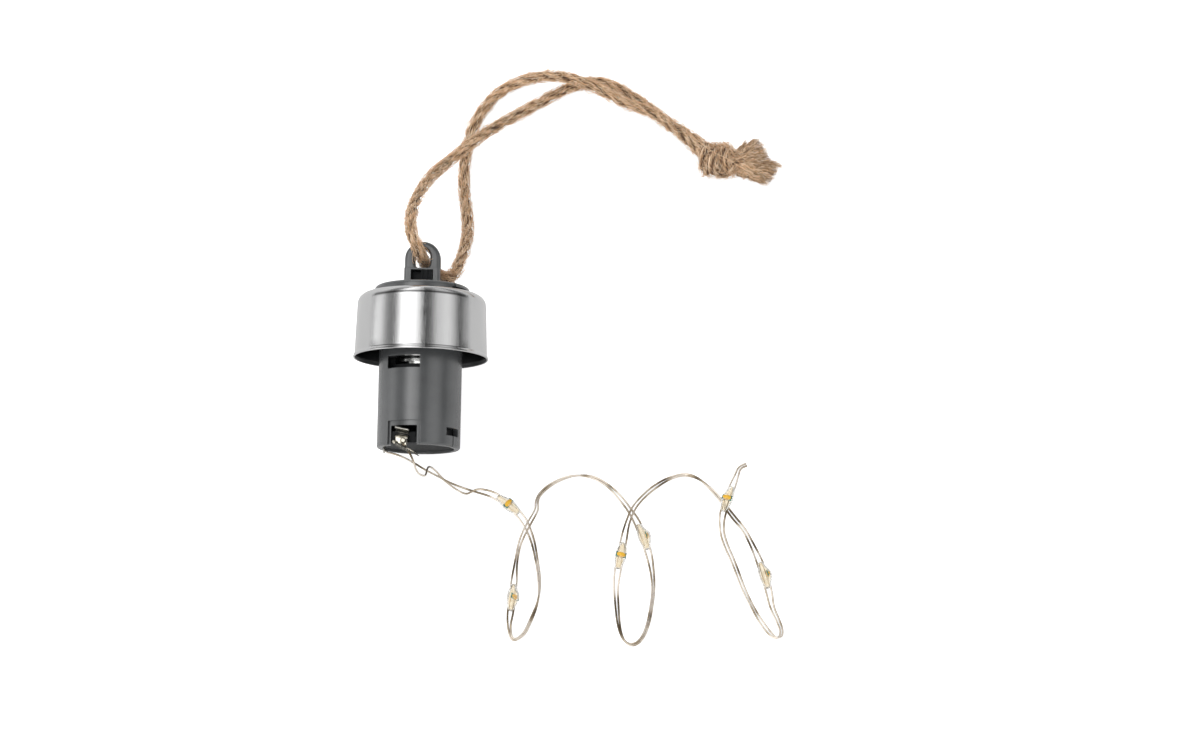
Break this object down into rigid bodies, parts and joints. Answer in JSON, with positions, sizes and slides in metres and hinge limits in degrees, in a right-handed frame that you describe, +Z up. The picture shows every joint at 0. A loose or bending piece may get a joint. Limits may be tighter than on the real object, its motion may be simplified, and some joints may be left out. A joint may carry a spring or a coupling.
{
  "type": "bottle stopper light with hanger and fairy string",
  "caption": "Stopper light for a bottle: metal cup, plug housing with button cells, hanger cap on a jute loop, and a string of resin beads on twin wires.",
  "frame": {"origin": "bottom centre of the stopper body's box, without the fairy string and the jute, as it lies on its side on a table", "axes": "+Z up from the table, +Y along the table towards the hanger, +X to the right when the hanger points away"},
  "size_m": [0.0962, 0.1439, 0.0316],
  "materials": {
    "polished_steel": "polished stainless steel sheet",
    "grey_plastic": "dark grey, satin",
    "black_plastic": "black, satin",
    "cell_steel": "bright nickel-plated steel",
    "nickel": "nickel-plated spring strip",
    "solder": "bright solder",
    "champagne_wire": "lacquered fine wire, champagne colour",
    "clear_resin": "clear resin, slightly cream",
    "yellow_chip": "yellow phosphor on a teal substrate",
    "jute": "twisted jute twine, hairy"
  },
  "bodies": {
    "stopper": {"housing_shell": "grey_plastic", "metal_cup": "polished_steel", "base_plug": "black_plastic", "rail_contact": "nickel", "clip_contact": "nickel", "solder_joints": "solder", "wire_left": "champagne_wire", "wire_right": "champagne_wire", "led_bead_1": "clear_resin", "led_bead_2": "clear_resin", "led_bead_3": "clear_resin", "led_bead_4": "clear_resin", "led_bead_5": "clear_resin", "led_bead_6": "clear_resin", "led_chip_1": "yellow_chip", "led_chip_2": "yellow_chip", "led_chip_3": "yellow_chip", "led_chip_4": "yellow_chip", "led_chip_5": "yellow_chip", "led_chip_6": "yellow_chip"},
    "cap": {"hanger_cap": "grey_plastic", "cell_tray": "black_plastic", "cell_1": "cell_steel", "cell_2": "cell_steel", "cell_3": "cell_steel", "tray_end_contact": "nickel", "cell_plate": "nickel", "wiper_contact": "nickel", "switch_body": "black_plastic", "switch_pins": "nickel", "jute_loop": "jute", "jute_knot": "jute", "jute_tails": "jute"},
    "knob": {"switch_knob": "black_plastic"}
  },
  "joints": [
    {"name": "cap_pull", "type": "slide", "parent": "stopper", "child": "cap", "axis": [0, 0.9596, 0.2815], "range_m": [0, 0.02]},
    {"name": "switch_slide", "type": "slide", "parent": "cap", "child": "knob", "axis": [-1, 0, 0], "range_m": [0, 0.0022]}
  ]
}
